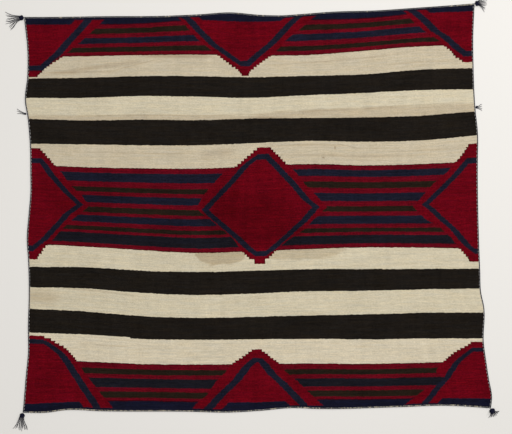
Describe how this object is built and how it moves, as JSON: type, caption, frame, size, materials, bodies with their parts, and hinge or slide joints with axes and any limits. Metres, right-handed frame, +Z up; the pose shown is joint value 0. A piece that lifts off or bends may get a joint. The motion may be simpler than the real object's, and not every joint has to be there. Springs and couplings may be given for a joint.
{
  "type": "navajo blanket rug",
  "caption": "Flat wool blanket rug of weft-faced weave, with twined edge cords and corner tassels, for a floor or wall.",
  "frame": {"origin": "on the floor under the middle of the whole piece's box, tassels included", "axes": "+X along the weft, towards the right of the pattern; +Y along the warp, towards the top of the pattern; +Z up out of the face"},
  "size_m": [1.8252, 1.6122, 0.0109],
  "materials": {
    "woven_wool": "matt weft-faced wool in crimson, indigo, brown-black and cream",
    "indigo_cord": "matt twined indigo wool",
    "indigo_yarn": "matt loose indigo wool yarn"
  },
  "bodies": {
    "root": {"blanket": "woven_wool", "end_cord_top": "indigo_cord", "end_cord_bottom": "indigo_cord", "side_cord_left": "indigo_cord", "side_cord_right": "indigo_cord", "tassel_top_left": "indigo_yarn", "tassel_top_right": "indigo_yarn", "tassel_bottom_left": "indigo_yarn", "tassel_bottom_right": "indigo_yarn", "tail_left": "indigo_yarn", "tail_right": "indigo_yarn"}
  },
  "joints": []
}
